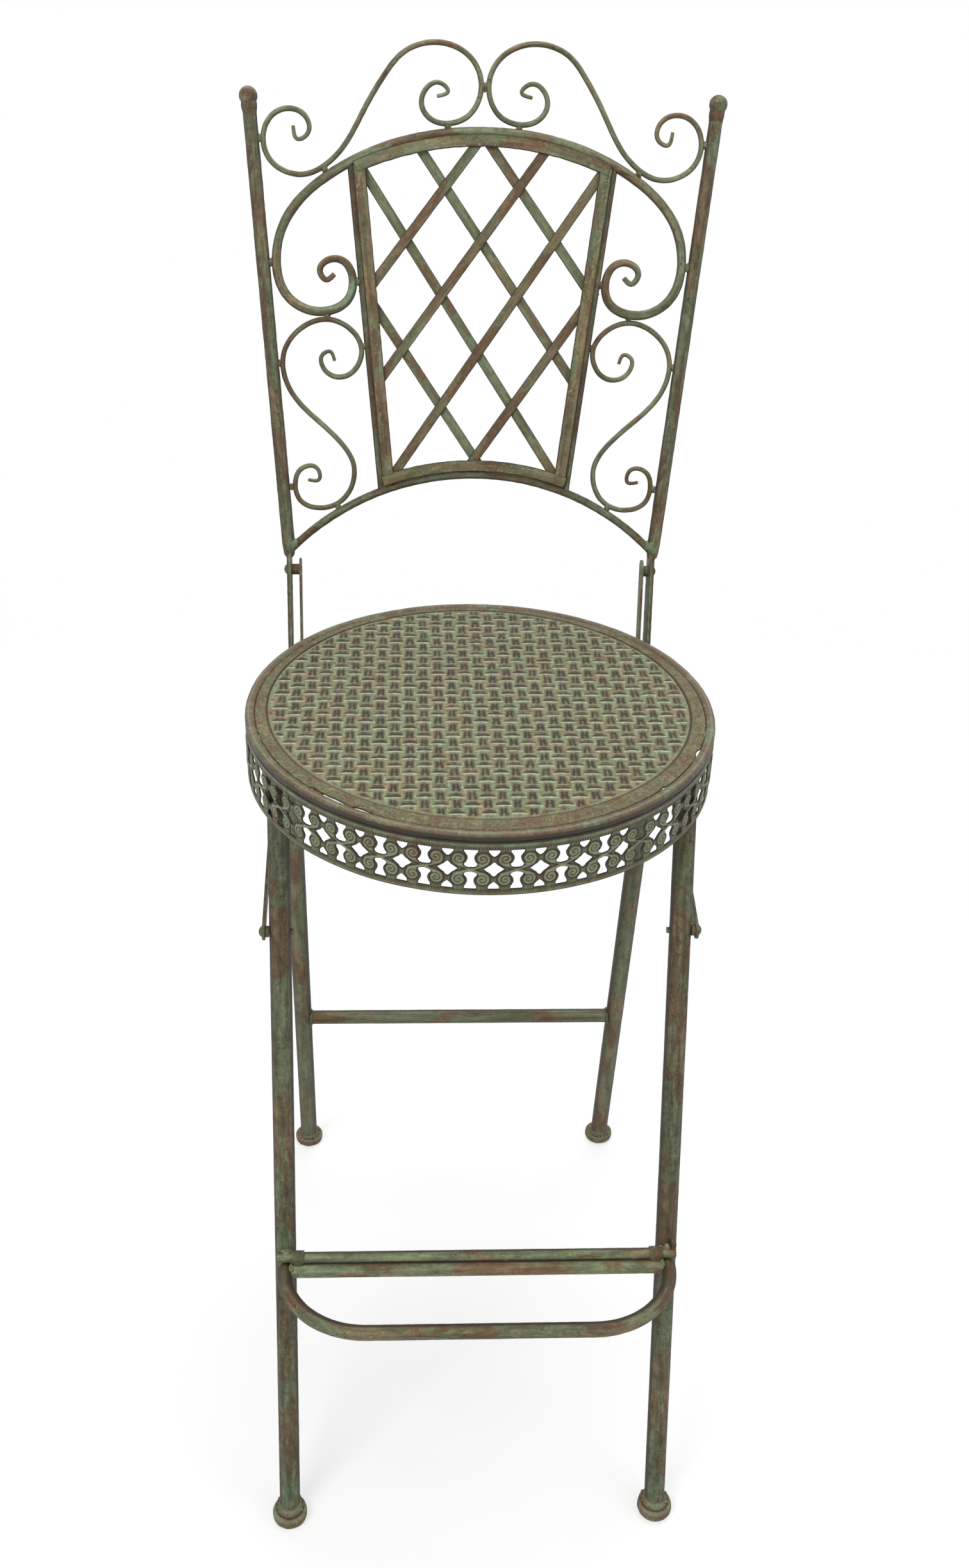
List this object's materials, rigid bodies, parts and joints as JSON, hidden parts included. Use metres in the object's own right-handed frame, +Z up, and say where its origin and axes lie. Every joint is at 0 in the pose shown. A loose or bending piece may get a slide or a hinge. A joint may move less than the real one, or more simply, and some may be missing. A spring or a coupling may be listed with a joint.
{
  "type": "folding bar chair",
  "caption": "Tall folding metal garden chair with a round embossed seat, pierced apron, scrolled lattice back and a hinged footrest.",
  "frame": {"origin": "centre of the chair's footprint box, on the floor", "axes": "+Z up, the sitter faces -Y, +X to the viewer's right when the chair is seen from the front"},
  "size_m": [0.4445, 0.6188, 1.2715],
  "materials": {
    "frame_bars": "weathered green and brown patina, semi-matt",
    "back_ironwork": "weathered green and brown patina, semi-matt",
    "seat_sheet": "embossed sheet with green patina and copper-brown patches",
    "rivets_and_lugs": "domed rivets and weld lugs under the same patina"
  },
  "bodies": {
    "rear_frame": {"back_bar_left": "frame_bars", "back_bar_right": "frame_bars", "back_upright_left": "frame_bars", "back_upright_right": "frame_bars", "crest_scroll_left": "back_ironwork", "crest_scroll_right": "back_ironwork", "finials": "frame_bars", "hanger_rivets": "rivets_and_lugs", "lattice_back_straps": "back_ironwork", "lattice_front_straps": "back_ironwork", "lower_arch_bar": "back_ironwork", "main_arch_scroll": "back_ironwork", "panel_bottom_strip": "back_ironwork", "panel_side_bars": "back_ironwork", "panel_side_strips": "back_ironwork", "panel_top_strip": "back_ironwork", "rear_crossbar": "frame_bars", "rear_feet": "frame_bars", "rear_leg_left": "frame_bars", "rear_leg_right": "frame_bars", "side_scroll_left": "back_ironwork", "side_scroll_right": "back_ironwork", "stay_pivot_rivets": "rivets_and_lugs"},
    "seat": {"seat_apron": "seat_sheet", "seat_cross_rails": "frame_bars", "seat_hanger_left": "frame_bars", "seat_hanger_right": "frame_bars", "seat_plate": "seat_sheet", "seat_ring": "seat_sheet", "seat_tabs": "rivets_and_lugs"},
    "front_frame": {"footrest_rod": "frame_bars", "front_feet": "frame_bars", "front_leg_left": "frame_bars", "front_leg_right": "frame_bars", "front_pivot_rivets": "rivets_and_lugs", "rod_lug": "rivets_and_lugs", "stay_nubs": "rivets_and_lugs"},
    "footrest": {"footrest_loop": "frame_bars", "footrest_rear_bar": "frame_bars", "footrest_eyes": "frame_bars"},
    "stay_left": {"stay_left": "frame_bars", "stay_rivet_left": "rivets_and_lugs"},
    "stay_right": {"stay_right": "frame_bars", "stay_rivet_right": "rivets_and_lugs"}
  },
  "joints": [
    {"name": "seat_fold", "type": "hinge", "parent": "rear_frame", "child": "seat", "pos_m": [0, 0.19218, 0.8073], "axis": [-1, 0, 0], "range_deg": [0, 64]},
    {"name": "front_frame_fold", "type": "hinge", "parent": "seat", "child": "front_frame", "pos_m": [0, -0.05792, 0.715], "axis": [1, 0, 0], "range_deg": [0, 81.39]},
    {"name": "stay_left_fold", "type": "hinge", "parent": "rear_frame", "child": "stay_left", "pos_m": [0, 0.14458, 0.645], "axis": [-1, 0, 0], "range_deg": [0, 68.98]},
    {"name": "stay_right_fold", "type": "hinge", "parent": "rear_frame", "child": "stay_right", "pos_m": [0, 0.14458, 0.645], "axis": [-1, 0, 0], "range_deg": [0, 68.98]},
    {"name": "footrest_lift", "type": "hinge", "parent": "front_frame", "child": "footrest", "pos_m": [0, -0.21472, 0.284], "axis": [-1, 0, 0], "range_deg": [0, 105]}
  ],
  "couplings": [
    {"joint": "front_frame_fold", "follows": "seat_fold", "ratio": 1.271},
    {"joint": "stay_left_fold", "follows": "seat_fold", "ratio": 1.077},
    {"joint": "stay_right_fold", "follows": "seat_fold", "ratio": 1.077}
  ]
}
